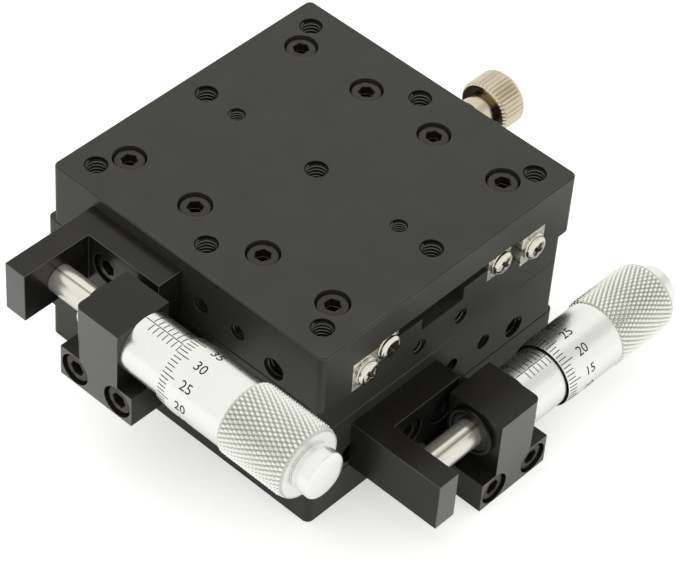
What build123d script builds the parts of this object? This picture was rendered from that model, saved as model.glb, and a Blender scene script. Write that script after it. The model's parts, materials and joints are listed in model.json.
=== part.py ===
from build123d import *
import os
from dataclasses import dataclass
from math import sqrt

# Crossed roller linear stage, in millimetres.
# Two identical single-axis stages stand one on the other, the upper one turned a quarter turn.
# The origin is the centre of the lower base's underside, and +Z is up.
# The upper table travels along X and the lower table along Y.
# Each stage has its own axes: u along its travel, v across it and w up from the underside of its base.
# The micrometer is on the -v side of a stage, and the lock screw on its +v side.

# Stage body
stage_side = 60.0
stage_height = 20.0
corner_radius = 1.2
table_edge_chamfer = 0.3
skirt_gap = 0.3
x_table_shift = 1.4
y_table_shift = -0.8

# Base section
deck_height = 7.4
rail_seat_step = 0.2
rib_rise = 2.65
slot_width = 10.0

# Rails, in pairs on both sides of the travel, with a roller cage between the two of a pair
rail_line = 16.75
rail_width = 5.5
rail_height = 6.0
rail_gap = 1.0
relief_depth = 0.6

# Rollers and cages
roller_diameter = 2.0
roller_length = 1.9
roller_running_gap = 0.03
roller_pitch = 4.0
roller_count = 11
cage_thickness = 0.5
cage_height = 4.8
cage_end_margin = 2.5
window_gap = 0.1

# Fasteners: M3 and M4 cap screws, M4 set screws and small pan screws
m3_radius = 1.5
m3_head_radius = 2.75
m3_head_height = 3.0
m3_bore_radius = 2.9
m3_bore_depth = 3.3
m4_radius = 2.0
m4_head_radius = 3.5
m4_head_height = 4.0
m4_bore_radius = 3.7
m4_bore_depth = 4.4
shank_gap = 0.05
clearance_gap = 0.2
tap_tip_gap = 0.4
end_screw_radius = 1.0
end_screw_length = 3.0
end_head_radius = 2.4
end_head_height = 1.3

# Hole pattern of the table's top
grid_pitch = 25.0
grid_hole_depth = 8.0
small_tap_spacing = 36.0

# Screws of the rails
rail_screw_pitch = 15.0
rail_screw_count = 4
outer_rail_engagement = 4.9
inner_rail_engagement = 3.7

# Holes in the sides of the table
side_tap_pitch = 8.0
side_tap_count = 4
side_tap_height = 12.7
preload_spacing = 40.0
preload_height = 10.5
preload_hole_radius = 2.1
preload_screw_length = 5.0

# Taps in the end of the base
end_tap_spacing = 10.0
end_tap_height = 3.75
end_tap_depth = 6.0

# Screws between the stages, and the taps in the lower base
joining_screw_length = 8.0
mounting_tap_depth = 6.0

# Contact arm
arm_inner_end = -0.2
arm_outer_end = -20.4
arm_leg_depth = 5.2
lever_thickness = 4.4
lever_reach = 18.9
arm_top = 17.5
arm_screw_length = 8.0

# Micrometer block
foot_width = 16.0
foot_height = 6.2
foot_depth = 17.5
upright_width = 9.5
upright_height = 17.5
upright_setback = 6.4
block_edge_radius = 1.3
block_screw_spacing = 9.5
block_screw_height = 3.1
block_screw_length = 20.0

# Micrometer head. The sleeve's stations are measured along u from the middle of the block.
head_offset = 11.6
head_height = 12.5
spindle_radius = 2.5
spindle_gap = 0.05
stem_radius = 3.75
stem_gap = 0.02
stem_setback = 0.2
nut_radius = 4.5
nut_thickness = 0.8
sleeve_radius = 5.35
sleeve_end = 24.0
scale_zero = 6.4

# Thimble, whose stations are measured from its edge, which stands at the scale's zero plus the reading
thimble_gap = 0.2
thimble_lip = 0.25
thimble_cone_length = 2.9
thimble_radius = 6.05
thimble_length = 26.7
spindle_seat_length = 4.5
spindle_cap_gap = 0.8
grip_radius = 6.5
grip_seat_radius = 5.85
grip_length = 13.4
grip_bevel_length = 1.2
grip_bevel_drop = 0.45
cap_radius = 4.1
cap_length = 3.6
cap_dome = 0.3
cap_stud_radius = 1.5
cap_stud_length = 3.0

# Reading of each micrometer, and its full travel
micrometer_travel = 13.0
x_reading = 6.8
y_reading = 6.2

# Return spring in the slot, between a pin in the base and a pin in the table
spring_radius = 2.5
spring_wall = 0.6
spring_height = 10.9
spring_pin_offset = 21.5
spring_pin_radius = 1.0
spring_pin_gap = 0.1
spring_pin_seat = 3.0
spring_pin_tip = 1.25
hook_radius = 1.9
hook_neck = 3.0

# Lock screw and its plate
lock_tap_place = 4.0
plate_thickness = 3.0
plate_gap = 0.4
plate_foot_height = 7.0
plate_bottom = 0.5
plate_top = 15.5
plate_slot_margin = 0.6
plate_end_wall = 3.0
plate_screw_spacing = 16.0
plate_screw_height = 3.75
plate_screw_length = 8.0
lock_release_gap = 0.3
neck_radius = 3.1
neck_length = 3.3
knob_radius = 5.0
knob_length = 5.5
knob_chamfer = 0.5
knob_dish_radius = 3.4
knob_dish_depth = 0.4
knob_recess_radius = 4.1
knob_recess_depth = 0.8

# Sizes that follow from the ones above
half_side = stage_side / 2
table_underside = deck_height + skirt_gap
rail_seat = deck_height + rail_seat_step
rail_top = rail_seat + rail_height
rail_middle = rail_seat + rail_height / 2
relief_ceiling = rail_top + relief_depth
inner_rail_centre = rail_line - rail_gap / 2 - rail_width / 2
outer_rail_centre = rail_line + rail_gap / 2 + rail_width / 2
inner_rail_back = inner_rail_centre - rail_width / 2
outer_rail_back = outer_rail_centre + rail_width / 2
groove_square = roller_diameter + 2 * roller_running_gap
end_shank_radius = end_screw_radius - shank_gap
m3_clearance = m3_radius + clearance_gap
m4_clearance = m4_radius + clearance_gap
m3_bore_seat = stage_height - m3_bore_depth
m4_bore_seat = deck_height - m4_bore_depth
plate_hole_depth = stage_height - table_underside
outer_rail_screw_length = m3_bore_seat - rail_top + outer_rail_engagement
inner_rail_screw_length = rail_seat - m3_bore_depth + inner_rail_engagement
side_tap_depth = arm_screw_length + m3_bore_depth - arm_leg_depth + tap_tip_gap
block_tap_depth = block_screw_length + m3_bore_depth - foot_depth + tap_tip_gap
plate_tap_depth = plate_screw_length - plate_thickness - plate_gap + tap_tip_gap
arm_face = -half_side - arm_leg_depth
block_face = -half_side - foot_depth
block_half = upright_width / 2
head_line = -half_side - head_offset
spindle_bore = spindle_radius + spindle_gap
nut_face = -block_half - nut_thickness
stem_end = nut_face + stem_setback
grip_start = thimble_length - grip_length
spindle_end = thimble_length - cap_stud_length - spindle_cap_gap
thimble_bore_end = spindle_end - spindle_seat_length
cage_length = roller_pitch * (roller_count - 1) + 2 * cage_end_margin
plate_face = half_side + plate_gap + plate_thickness


@dataclass
class Frame:
    """The axes of one table or one base."""

    origin: Vector
    travel: Vector

    @property
    def across(self):
        return Vector(0, 0, 1).cross(self.travel)

    def point(self, u, v, w):
        return self.origin + self.travel * u + self.across * v + Vector(0, 0, w)

    def level(self, w):
        """Horizontal plane that faces up. Sketch x is u, and sketch y is v."""
        return Plane(origin=self.point(0, 0, w), x_dir=self.travel, z_dir=(0, 0, 1))

    def underside(self, w):
        """Horizontal plane that faces down. Sketch x is u, and sketch y is -v."""
        return Plane(origin=self.point(0, 0, w), x_dir=self.travel, z_dir=(0, 0, -1))

    def section(self, u):
        """Upright plane that faces +u. Sketch x is v, and sketch y is w."""
        return Plane(origin=self.point(u, 0, 0), x_dir=self.across, z_dir=self.travel)

    def far_end(self, u):
        """Upright plane that faces -u. Sketch x is -v, and sketch y is w."""
        return Plane(origin=self.point(u, 0, 0), x_dir=-self.across, z_dir=-self.travel)

    def drive_side(self, v):
        """Upright plane that faces -v. Sketch x is u, and sketch y is w."""
        return Plane(origin=self.point(0, v, 0), x_dir=self.travel, z_dir=-self.across)

    def lock_side(self, v):
        """Upright plane that faces +v. Sketch x is -u, and sketch y is w."""
        return Plane(origin=self.point(0, v, 0), x_dir=-self.travel, z_dir=self.across)

    def head_plane(self):
        """Upright plane through the micrometer's axis. Sketch x is u, and sketch y is the radius."""
        return Plane(origin=self.point(0, head_line, head_height), x_dir=self.travel, z_dir=-self.across)

    def head_axis(self):
        return Axis(self.point(0, head_line, head_height), self.travel)


@dataclass
class Stage:
    """One single-axis stage. The rounded edge of its block is at the end of u with that sign."""

    prefix: str
    base: Frame
    table: Frame
    table_shift: float
    reading: float
    stands_on_table: bool
    rounded_end: int

    @property
    def lever_face(self):
        """Where the spindle meets the lever, along the base's u."""
        return self.table_shift + arm_outer_end + lever_thickness

    @property
    def thimble(self):
        """Axes whose u starts at the thimble's edge."""
        edge = scale_zero + self.reading
        return Frame(self.base.origin + self.base.travel * edge, self.base.travel)

    @property
    def lock_middle(self):
        """Middle of the lock screw's path, along the base's u."""
        return lock_tap_place + self.table_shift + micrometer_travel / 2 - self.reading


def line_of_holes(pitch, count):
    """Places along one direction, evenly spaced about the middle."""
    return [pitch * (i - (count - 1) / 2) for i in range(count)]


def cap_screw(radius, length, head_radius, head_height):
    """A screw at each location in use, with its head above the location and its shank below."""
    Cylinder(head_radius, head_height, align=(Align.CENTER, Align.CENTER, Align.MIN))
    Cylinder(radius, length, align=(Align.CENTER, Align.CENTER, Align.MAX))


def m3_screw(length):
    cap_screw(m3_radius - shank_gap, length, m3_head_radius, m3_head_height)


def m3_counterbore():
    CounterBoreHole(m3_clearance, m3_bore_radius, m3_bore_depth)


def rail_screw_places(rail_centre):
    stations = line_of_holes(rail_screw_pitch, rail_screw_count)
    return [(u, v) for u in stations for v in (-rail_centre, rail_centre)]


def make_table(stage):
    """Top plate with a skirt outside each outer rail and a relief over the inner rails."""
    frame = stage.table
    with BuildPart() as table:
        with BuildSketch(frame.section(0)):
            with BuildLine():
                Polyline(
                    (0, stage_height),
                    (half_side, stage_height),
                    (half_side, table_underside),
                    (outer_rail_back, table_underside),
                    (outer_rail_back, rail_top),
                    (rail_line, rail_top),
                    (rail_line, relief_ceiling),
                    (0, relief_ceiling),
                )
                mirror(about=Plane.YZ)
            make_face()
        extrude(amount=half_side, both=True)
        with BuildSketch(frame.level(0)):
            RectangleRounded(stage_side, stage_side, corner_radius)
        extrude(amount=stage_height, mode=Mode.INTERSECT)
        top = table.faces().sort_by(Axis.Z)[-1]
        chamfer(top.outer_wire().edges(), table_edge_chamfer)
        with Locations(frame.level(stage_height)):
            with GridLocations(grid_pitch, 2 * grid_pitch, 3, 2):
                Hole(m4_radius, depth=grid_hole_depth)
            with GridLocations(grid_pitch, grid_pitch, 3, 1):
                Hole(m4_radius, depth=plate_hole_depth)
            with GridLocations(small_tap_spacing, small_tap_spacing, 2, 1):
                Hole(m3_radius, depth=plate_hole_depth)
            with Locations(*rail_screw_places(outer_rail_centre)):
                CounterBoreHole(m3_clearance, m3_bore_radius, m3_bore_depth, depth=plate_hole_depth)
        for side_face in (frame.drive_side(-half_side), frame.lock_side(half_side)):
            with Locations(side_face):
                with Locations((-preload_spacing / 2, preload_height), (preload_spacing / 2, preload_height)):
                    Hole(preload_hole_radius, depth=half_side - outer_rail_back)
                with Locations((0, side_tap_height)):
                    with GridLocations(side_tap_pitch, side_tap_pitch, side_tap_count, 1):
                        Hole(m3_radius, depth=side_tap_depth)
        with Locations(frame.point(-spring_pin_offset, 0, relief_ceiling)):
            Cylinder(
                spring_pin_radius,
                spring_pin_seat,
                align=(Align.CENTER, Align.CENTER, Align.MIN),
                mode=Mode.SUBTRACT,
            )
    return table.part


def make_base(stage):
    """Bottom plate with two ribs that locate the inner rails and a slot for the return spring."""
    frame = stage.base
    rib_top = rail_seat + rib_rise
    slot_side = slot_width / 2
    with BuildPart() as base:
        with BuildSketch(frame.section(0)):
            with BuildLine():
                Polyline(
                    (0, 0),
                    (half_side, 0),
                    (half_side, deck_height),
                    (rail_line, deck_height),
                    (rail_line, rail_seat),
                    (inner_rail_back, rail_seat),
                    (inner_rail_back, rib_top),
                    (slot_side, rib_top),
                    (slot_side, rail_seat),
                    (0, rail_seat),
                )
                mirror(about=Plane.YZ)
            make_face()
        extrude(amount=half_side, both=True)
        with BuildSketch(frame.level(0)):
            RectangleRounded(stage_side, stage_side, corner_radius)
        extrude(amount=rib_top, mode=Mode.INTERSECT)
        with Locations(frame.underside(0)):
            with Locations(*rail_screw_places(inner_rail_centre)):
                CounterBoreHole(m3_clearance, m3_bore_radius, m3_bore_depth, depth=rail_top)
        if stage.stands_on_table:
            with Locations(frame.level(deck_height)):
                with GridLocations(2 * grid_pitch, 2 * grid_pitch, 2, 2):
                    CounterBoreHole(m4_clearance, m4_bore_radius, m4_bore_depth, depth=stage_height)
        else:
            with Locations(frame.underside(0)):
                with GridLocations(2 * grid_pitch, 2 * grid_pitch, 2, 2):
                    Hole(m4_radius, depth=mounting_tap_depth)
        with Locations(frame.section(half_side)):
            with Locations((-end_tap_spacing / 2, end_tap_height), (end_tap_spacing / 2, end_tap_height)):
                Hole(m3_radius, depth=end_tap_depth)
        with Locations(frame.drive_side(-half_side)):
            with Locations(*block_screw_places()):
                Hole(m3_radius, depth=block_tap_depth)
        with Locations(frame.lock_side(half_side)):
            with Locations(*plate_screw_places(stage)):
                Hole(m3_radius, depth=plate_tap_depth)
        with Locations(frame.level(rail_seat)):
            with Locations((spring_pin_offset, 0)):
                Hole(spring_pin_radius, depth=spring_pin_seat)
    return base.part


def block_screw_places():
    return [(-block_screw_spacing / 2, block_screw_height), (block_screw_spacing / 2, block_screw_height)]


def plate_screw_places(stage):
    """Places on the lock side, where sketch x is -u."""
    middle = -stage.lock_middle
    return [
        (middle - plate_screw_spacing / 2, plate_screw_height),
        (middle + plate_screw_spacing / 2, plate_screw_height),
    ]


def make_rail(frame, rail_centre, side):
    """Ground rail with a V-groove that faces the line of rollers, tapped for its screws."""
    with BuildPart() as rail:
        with BuildSketch(frame.section(0)):
            with Locations((side * rail_centre, rail_middle)):
                Rectangle(rail_width, rail_height)
            with Locations((side * rail_line, rail_middle)):
                Rectangle(groove_square, groove_square, rotation=45, mode=Mode.SUBTRACT)
        extrude(amount=half_side, both=True)
        with Locations(frame.level(rail_top)):
            with Locations((0, side * rail_centre)):
                with GridLocations(rail_screw_pitch, rail_screw_pitch, rail_screw_count, 1):
                    Hole(m3_radius, depth=rail_height)
        for rail_end, x_sign in ((frame.section(half_side), 1), (frame.far_end(-half_side), -1)):
            with Locations(rail_end):
                with Locations((x_sign * side * rail_centre, rail_middle)):
                    Hole(end_screw_radius, depth=end_screw_length)
    return rail.part


def make_roller_cages(frame):
    """Two thin strips with a window for each roller."""
    window_length = roller_diameter + 2 * window_gap
    window_height = (roller_diameter + roller_length) / sqrt(2) + 2 * window_gap
    with BuildPart() as cages:
        for side in (-1, 1):
            with BuildSketch(frame.drive_side(side * rail_line)):
                with Locations((0, rail_middle)):
                    Rectangle(cage_length, cage_height)
                    with GridLocations(roller_pitch, roller_pitch, roller_count, 1):
                        Rectangle(window_length, window_height, mode=Mode.SUBTRACT)
            extrude(amount=cage_thickness / 2, both=True)
    return cages.part


def make_rollers(frame):
    """Rollers whose axes lean 45 degrees to one side and to the other by turns."""
    places = []
    for side in (-1, 1):
        for i, u in enumerate(line_of_holes(roller_pitch, roller_count)):
            lean = 1 if i % 2 == 0 else -1
            axis = frame.across + Vector(0, 0, lean)
            centre = frame.point(u, side * rail_line, rail_middle)
            places.append(Plane(origin=centre, x_dir=frame.travel, z_dir=axis))
    with BuildPart() as rollers:
        with Locations(*places):
            Cylinder(roller_diameter / 2, roller_length)
    return rollers.part


def make_outer_rail_screws(frame):
    with BuildPart() as screws:
        with Locations(frame.level(m3_bore_seat)):
            with Locations(*rail_screw_places(outer_rail_centre)):
                m3_screw(outer_rail_screw_length)
    return screws.part


def make_inner_rail_screws(frame):
    with BuildPart() as screws:
        with Locations(frame.underside(m3_bore_depth)):
            with Locations(*rail_screw_places(inner_rail_centre)):
                m3_screw(inner_rail_screw_length)
    return screws.part


def make_end_screws(frame, rail_centre):
    """Pan screws in both ends of a pair of rails."""
    with BuildPart() as screws:
        for rail_end in (frame.section(half_side), frame.far_end(-half_side)):
            with Locations(rail_end):
                with Locations((-rail_centre, rail_middle), (rail_centre, rail_middle)):
                    cap_screw(end_shank_radius, end_screw_length, end_head_radius, end_head_height)
    return screws.part


def make_preload_screws(frame):
    """Set screws that bear on the backs of the outer rails."""
    with BuildPart() as screws:
        for rail_back in (frame.drive_side(-outer_rail_back), frame.lock_side(outer_rail_back)):
            with Locations(rail_back):
                with Locations((-preload_spacing / 2, preload_height), (preload_spacing / 2, preload_height)):
                    Cylinder(
                        preload_hole_radius - shank_gap,
                        preload_screw_length,
                        align=(Align.CENTER, Align.CENTER, Align.MIN),
                    )
    return screws.part


def arm_screw_places():
    taps = line_of_holes(side_tap_pitch, side_tap_count)
    return [(u, side_tap_height) for u in taps[:2]]


def make_contact_arm(frame):
    """L-shaped arm on the table's side. Its short leg is the lever that the spindle pushes."""
    with BuildPart() as arm:
        with BuildSketch(frame.level(table_underside)):
            with BuildLine():
                Polyline(
                    (arm_inner_end, -half_side),
                    (arm_outer_end, -half_side),
                    (arm_outer_end, -half_side - lever_reach),
                    (arm_outer_end + lever_thickness, -half_side - lever_reach),
                    (arm_outer_end + lever_thickness, arm_face),
                    (arm_inner_end, arm_face),
                    close=True,
                )
            make_face()
        extrude(amount=arm_top - table_underside)
        with Locations(frame.drive_side(arm_face)):
            with Locations(*arm_screw_places()):
                m3_counterbore()
    return arm.part


def make_arm_screws(frame):
    with BuildPart() as screws:
        with Locations(frame.drive_side(arm_face + m3_bore_depth)):
            with Locations(*arm_screw_places()):
                m3_screw(arm_screw_length)
    return screws.part


def make_micrometer_block(stage):
    """Block like an upside-down T: a foot against the base and an upright with the bore for the stem."""
    frame = stage.base
    with BuildPart() as block:
        with BuildSketch(frame.drive_side(block_face)):
            with Locations((0, foot_height / 2)):
                Rectangle(foot_width, foot_height)
        extrude(amount=-foot_depth)
        with BuildSketch(frame.drive_side(block_face)):
            with Locations((0, upright_height / 2)):
                Rectangle(upright_width, upright_height)
        extrude(amount=upright_setback - foot_depth)
        edge_place = frame.point(stage.rounded_end * block_half, block_face, upright_height / 2)
        outer_edge = block.edges().filter_by(Axis.Z).sort_by_distance(edge_place)[0]
        fillet(outer_edge, block_edge_radius)
        with Locations(frame.section(block_half)):
            with Locations((head_line, head_height)):
                Hole(stem_radius + stem_gap, depth=upright_width)
        with Locations(frame.drive_side(block_face)):
            with Locations(*block_screw_places()):
                m3_counterbore()
    return block.part


def make_block_screws(frame):
    with BuildPart() as screws:
        with Locations(frame.drive_side(block_face + m3_bore_depth)):
            with Locations(*block_screw_places()):
                m3_screw(block_screw_length)
    return screws.part


def turned(frame, outline):
    """A piece turned about the micrometer's axis, from its outline in stations along u and radii."""
    with BuildPart() as piece:
        with BuildSketch(frame.head_plane()):
            with BuildLine():
                Polyline(*outline, close=True)
            make_face()
        revolve(axis=frame.head_axis())
    return piece.part


def make_sleeve(frame):
    """Barrel with the stem that the block and the clamp nut hold."""
    return turned(
        frame,
        [
            (stem_end, spindle_bore),
            (stem_end, stem_radius),
            (block_half, stem_radius),
            (block_half, sleeve_radius),
            (sleeve_end, sleeve_radius),
            (sleeve_end, spindle_bore),
        ],
    )


def make_clamp_nut(frame):
    bore = stem_radius + stem_gap
    return turned(
        frame,
        [(nut_face, bore), (nut_face, nut_radius), (-block_half, nut_radius), (-block_half, bore)],
    )


def make_spindle(stage):
    """Ground pin from the lever to its seat in the thimble."""
    start = stage.lever_face - scale_zero - stage.reading
    return turned(
        stage.thimble,
        [(start, 0), (start, spindle_radius), (spindle_end, spindle_radius), (spindle_end, 0)],
    )


def make_thimble(frame):
    """Drum that runs over the sleeve, with the grip's seat, and holds the spindle at its far end."""
    bore = sleeve_radius + thimble_gap
    stud_bore = cap_stud_radius + stem_gap
    return turned(
        frame,
        [
            (0, bore),
            (0, bore + thimble_lip),
            (thimble_cone_length, thimble_radius),
            (grip_start, thimble_radius),
            (grip_start, grip_seat_radius),
            (thimble_length, grip_seat_radius),
            (thimble_length, stud_bore),
            (spindle_end, stud_bore),
            (spindle_end, spindle_bore),
            (thimble_bore_end, spindle_bore),
            (thimble_bore_end, bore),
        ],
    )


def make_thimble_grip(frame):
    """Ring pressed on the thimble's seat, with a bevel at its outer end."""
    bore = grip_seat_radius + stem_gap
    return turned(
        frame,
        [
            (grip_start, bore),
            (grip_start, grip_radius),
            (thimble_length - grip_bevel_length, grip_radius),
            (thimble_length, grip_radius - grip_bevel_drop),
            (thimble_length, bore),
        ],
    )


def make_thimble_cap(frame):
    """Turned button on the thimble's end, slightly domed, with the stud that holds it."""
    cap_end = thimble_length + cap_length
    stud_end = thimble_length - cap_stud_length
    with BuildPart() as cap:
        with BuildSketch(frame.head_plane()):
            with BuildLine():
                Polyline(
                    (cap_end, 0),
                    (stud_end, 0),
                    (stud_end, cap_stud_radius),
                    (thimble_length, cap_stud_radius),
                    (thimble_length, cap_radius),
                    (cap_end - cap_dome, cap_radius),
                    (cap_end, cap_radius - cap_dome),
                    close=True,
                )
            make_face()
        revolve(axis=frame.head_axis())
    return cap.part


def make_return_spring(stage):
    """Coil drawn as its hollow envelope, with a flat hook over each pin."""
    base_pin = spring_pin_offset
    table_pin = stage.table_shift - spring_pin_offset
    coil_start = table_pin + hook_neck
    coil_end = base_pin - hook_neck
    with BuildPart() as spring:
        with BuildSketch(stage.base.section(coil_start)):
            with Locations((0, spring_height)):
                Circle(spring_radius)
        extrude(amount=coil_end - coil_start)
        with BuildSketch(stage.base.section(coil_start + spring_wall)):
            with Locations((0, spring_height)):
                Circle(spring_radius - spring_wall)
        extrude(amount=coil_end - coil_start - 2 * spring_wall, mode=Mode.SUBTRACT)
        with BuildSketch(stage.base.level(spring_height - spring_wall / 2)):
            with Locations((table_pin, 0), (base_pin, 0)):
                Circle(hook_radius)
            with Locations((table_pin + hook_neck / 2, 0), (base_pin - hook_neck / 2, 0)):
                Rectangle(hook_neck, hook_radius)
            with Locations((table_pin, 0), (base_pin, 0)):
                Circle(spring_pin_radius + spring_pin_gap, mode=Mode.SUBTRACT)
        extrude(amount=spring_wall)
    return spring.part


def make_spring_pin(frame, u, bottom, top):
    """Upright pin between two heights."""
    with BuildPart() as pin:
        with BuildSketch(frame.level(bottom)):
            with Locations((u, 0)):
                Circle(spring_pin_radius)
        extrude(amount=top - bottom)
    return pin.part


def make_lock_plate(stage):
    """Plate on the base's side with a slot that the lock screw travels in."""
    frame = stage.base
    slot_length = micrometer_travel + 2 * m3_clearance + 2 * plate_slot_margin
    plate_length = slot_length + 2 * plate_end_wall
    with BuildPart() as plate:
        with BuildSketch(frame.section(stage.lock_middle)):
            with BuildLine():
                Polyline(
                    (half_side, plate_bottom),
                    (plate_face, plate_bottom),
                    (plate_face, plate_top),
                    (half_side + plate_gap, plate_top),
                    (half_side + plate_gap, plate_foot_height),
                    (half_side, plate_foot_height),
                    close=True,
                )
            make_face()
        extrude(amount=plate_length / 2, both=True)
        with BuildSketch(frame.lock_side(plate_face)):
            with Locations((-stage.lock_middle, side_tap_height)):
                SlotOverall(slot_length, 2 * m3_clearance)
        extrude(amount=-plate_thickness, mode=Mode.SUBTRACT)
        with Locations(frame.lock_side(plate_face)):
            with Locations(*plate_screw_places(stage)):
                Hole(m3_clearance, depth=plate_thickness + plate_gap)
    return plate.part


def make_lock_plate_screws(stage):
    with BuildPart() as screws:
        with Locations(stage.base.lock_side(plate_face)):
            with Locations(*plate_screw_places(stage)):
                m3_screw(plate_screw_length)
    return screws.part


def make_lock_screw(frame):
    """Thumb screw in the table's side, with a shoulder that bears on the lock plate when it is tight."""
    shoulder = plate_face + lock_release_gap
    knob_start = shoulder + neck_length
    knob_end = knob_start + knob_length
    tip = half_side - side_tap_depth
    shank = m3_radius - shank_gap
    axis_start = frame.point(lock_tap_place, 0, side_tap_height)
    with BuildPart() as screw:
        with BuildSketch(Plane(origin=axis_start, x_dir=frame.across, z_dir=frame.travel)):
            with BuildLine():
                Polyline(
                    (tip, 0),
                    (tip, shank),
                    (shoulder, shank),
                    (shoulder, neck_radius),
                    (knob_start + knob_recess_depth, neck_radius),
                    (knob_start + knob_recess_depth, knob_recess_radius),
                    (knob_start, knob_recess_radius),
                    (knob_start, knob_radius - knob_chamfer),
                    (knob_start + knob_chamfer, knob_radius),
                    (knob_end - knob_chamfer, knob_radius),
                    (knob_end, knob_radius - knob_chamfer),
                    (knob_end, knob_dish_radius),
                    (knob_end - knob_dish_depth, knob_dish_radius - knob_dish_depth),
                    (knob_end - knob_dish_depth, 0),
                    close=True,
                )
            make_face()
        revolve(axis=Axis(axis_start, frame.across))
    return screw.part


def make_joining_screws(frame):
    """Screws through the upper base into the lower table's outer grid holes."""
    with BuildPart() as screws:
        with Locations(frame.level(m4_bore_seat)):
            with GridLocations(2 * grid_pitch, 2 * grid_pitch, 2, 2):
                cap_screw(m4_radius - shank_gap, joining_screw_length, m4_head_radius, m4_head_height)
    return screws.part


def stage_pieces(stage):
    """Every piece of one stage, by name."""
    base = stage.base
    table = stage.table
    cages = Frame((base.origin + table.origin) * 0.5, base.travel)
    base_pin_ends = (rail_seat - spring_pin_seat, spring_height + spring_pin_tip)
    table_pin_ends = (spring_height - spring_pin_tip, relief_ceiling + spring_pin_seat)
    return {
        "base": make_base(stage),
        "table": make_table(stage),
        "inner_rail_left": make_rail(base, inner_rail_centre, -1),
        "inner_rail_right": make_rail(base, inner_rail_centre, 1),
        "outer_rail_left": make_rail(table, outer_rail_centre, -1),
        "outer_rail_right": make_rail(table, outer_rail_centre, 1),
        "roller_cages": make_roller_cages(cages),
        "rollers": make_rollers(cages),
        "outer_rail_screws": make_outer_rail_screws(table),
        "inner_rail_screws": make_inner_rail_screws(base),
        "outer_end_screws": make_end_screws(table, outer_rail_centre),
        "inner_end_screws": make_end_screws(base, inner_rail_centre),
        "preload_screws": make_preload_screws(table),
        "contact_arm": make_contact_arm(table),
        "arm_screws": make_arm_screws(table),
        "micrometer_block": make_micrometer_block(stage),
        "block_screws": make_block_screws(base),
        "sleeve": make_sleeve(base),
        "clamp_nut": make_clamp_nut(base),
        "spindle": make_spindle(stage),
        "thimble": make_thimble(stage.thimble),
        "thimble_grip": make_thimble_grip(stage.thimble),
        "thimble_cap": make_thimble_cap(stage.thimble),
        "return_spring": make_return_spring(stage),
        "base_spring_pin": make_spring_pin(base, spring_pin_offset, *base_pin_ends),
        "table_spring_pin": make_spring_pin(table, -spring_pin_offset, *table_pin_ends),
        "lock_plate": make_lock_plate(stage),
        "lock_plate_screws": make_lock_plate_screws(stage),
        "lock_screw": make_lock_screw(table),
    }


def write(part, label):
    part.label = label
    export_step(part, f"parts/{label}.step")


def main():
    os.makedirs("parts", exist_ok=True)
    along_x = Vector(1, 0, 0)
    along_y = Vector(0, 1, 0)
    lower_base = Frame(Vector(0, 0, 0), along_y)
    lower_table = Frame(Vector(0, y_table_shift, 0), along_y)
    upper_base = Frame(Vector(0, y_table_shift, stage_height), along_x)
    upper_table = Frame(Vector(x_table_shift, y_table_shift, stage_height), along_x)
    lower = Stage("y", lower_base, lower_table, y_table_shift, y_reading, False, 1)
    upper = Stage("x", upper_base, upper_table, x_table_shift, x_reading, True, -1)
    for stage in (lower, upper):
        for name, part in stage_pieces(stage).items():
            write(part, f"{stage.prefix}_{name}")
    write(make_joining_screws(upper.base), "stage_joining_screws")


main()
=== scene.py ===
"""Looks of a two-axis crossed roller stage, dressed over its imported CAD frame."""

from __future__ import annotations

import json
import logging
import math
from collections.abc import Callable, Iterable
from dataclasses import dataclass, field, replace
from enum import Enum

import bmesh
import bpy
from mathutils import Matrix, Vector

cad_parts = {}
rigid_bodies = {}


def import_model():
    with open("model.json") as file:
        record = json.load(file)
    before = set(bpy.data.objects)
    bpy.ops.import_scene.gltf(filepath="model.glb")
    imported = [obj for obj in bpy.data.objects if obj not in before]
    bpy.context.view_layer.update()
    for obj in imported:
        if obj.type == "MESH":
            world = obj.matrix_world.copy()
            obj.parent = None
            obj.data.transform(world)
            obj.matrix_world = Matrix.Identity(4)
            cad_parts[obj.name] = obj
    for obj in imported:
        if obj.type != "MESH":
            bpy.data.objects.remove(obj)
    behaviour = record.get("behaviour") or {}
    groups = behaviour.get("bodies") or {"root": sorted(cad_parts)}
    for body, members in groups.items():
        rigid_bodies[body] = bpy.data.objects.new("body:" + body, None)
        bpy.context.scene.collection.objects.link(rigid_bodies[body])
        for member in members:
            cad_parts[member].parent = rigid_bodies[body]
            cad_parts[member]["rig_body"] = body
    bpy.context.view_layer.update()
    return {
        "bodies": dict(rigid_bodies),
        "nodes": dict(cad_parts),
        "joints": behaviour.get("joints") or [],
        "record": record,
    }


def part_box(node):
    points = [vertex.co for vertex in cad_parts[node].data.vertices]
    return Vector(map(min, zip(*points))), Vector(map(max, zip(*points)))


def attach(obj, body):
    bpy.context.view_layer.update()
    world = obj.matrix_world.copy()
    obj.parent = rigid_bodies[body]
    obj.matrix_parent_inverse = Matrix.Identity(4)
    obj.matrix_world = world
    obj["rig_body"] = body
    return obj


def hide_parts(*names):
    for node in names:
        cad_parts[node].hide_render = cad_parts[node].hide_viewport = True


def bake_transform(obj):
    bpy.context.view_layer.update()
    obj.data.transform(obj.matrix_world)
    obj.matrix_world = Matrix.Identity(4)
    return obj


log = logging.getLogger("crossed_roller_stage")

MM = 0.001
FULL_TURN = 2 * math.pi
UP = Vector((0, 0, 1))
BOTH = (-1, 1)
PAIRS = [(first, second) for first in BOTH for second in BOTH]

Shape = bmesh.types.BMesh
Tree = bpy.types.NodeTree
Socket = bpy.types.NodeSocket
Edges = list[bmesh.types.BMEdge]
Drawn = tuple[list[bmesh.types.BMVert], Edges]
Outline = list[tuple[float, float]]
Place = tuple[float, float, float]


class Axis(Enum):
    """Direction that a stage travels in."""

    X = (1.0, 0.0, 0.0)
    Y = (0.0, 1.0, 0.0)


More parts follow.
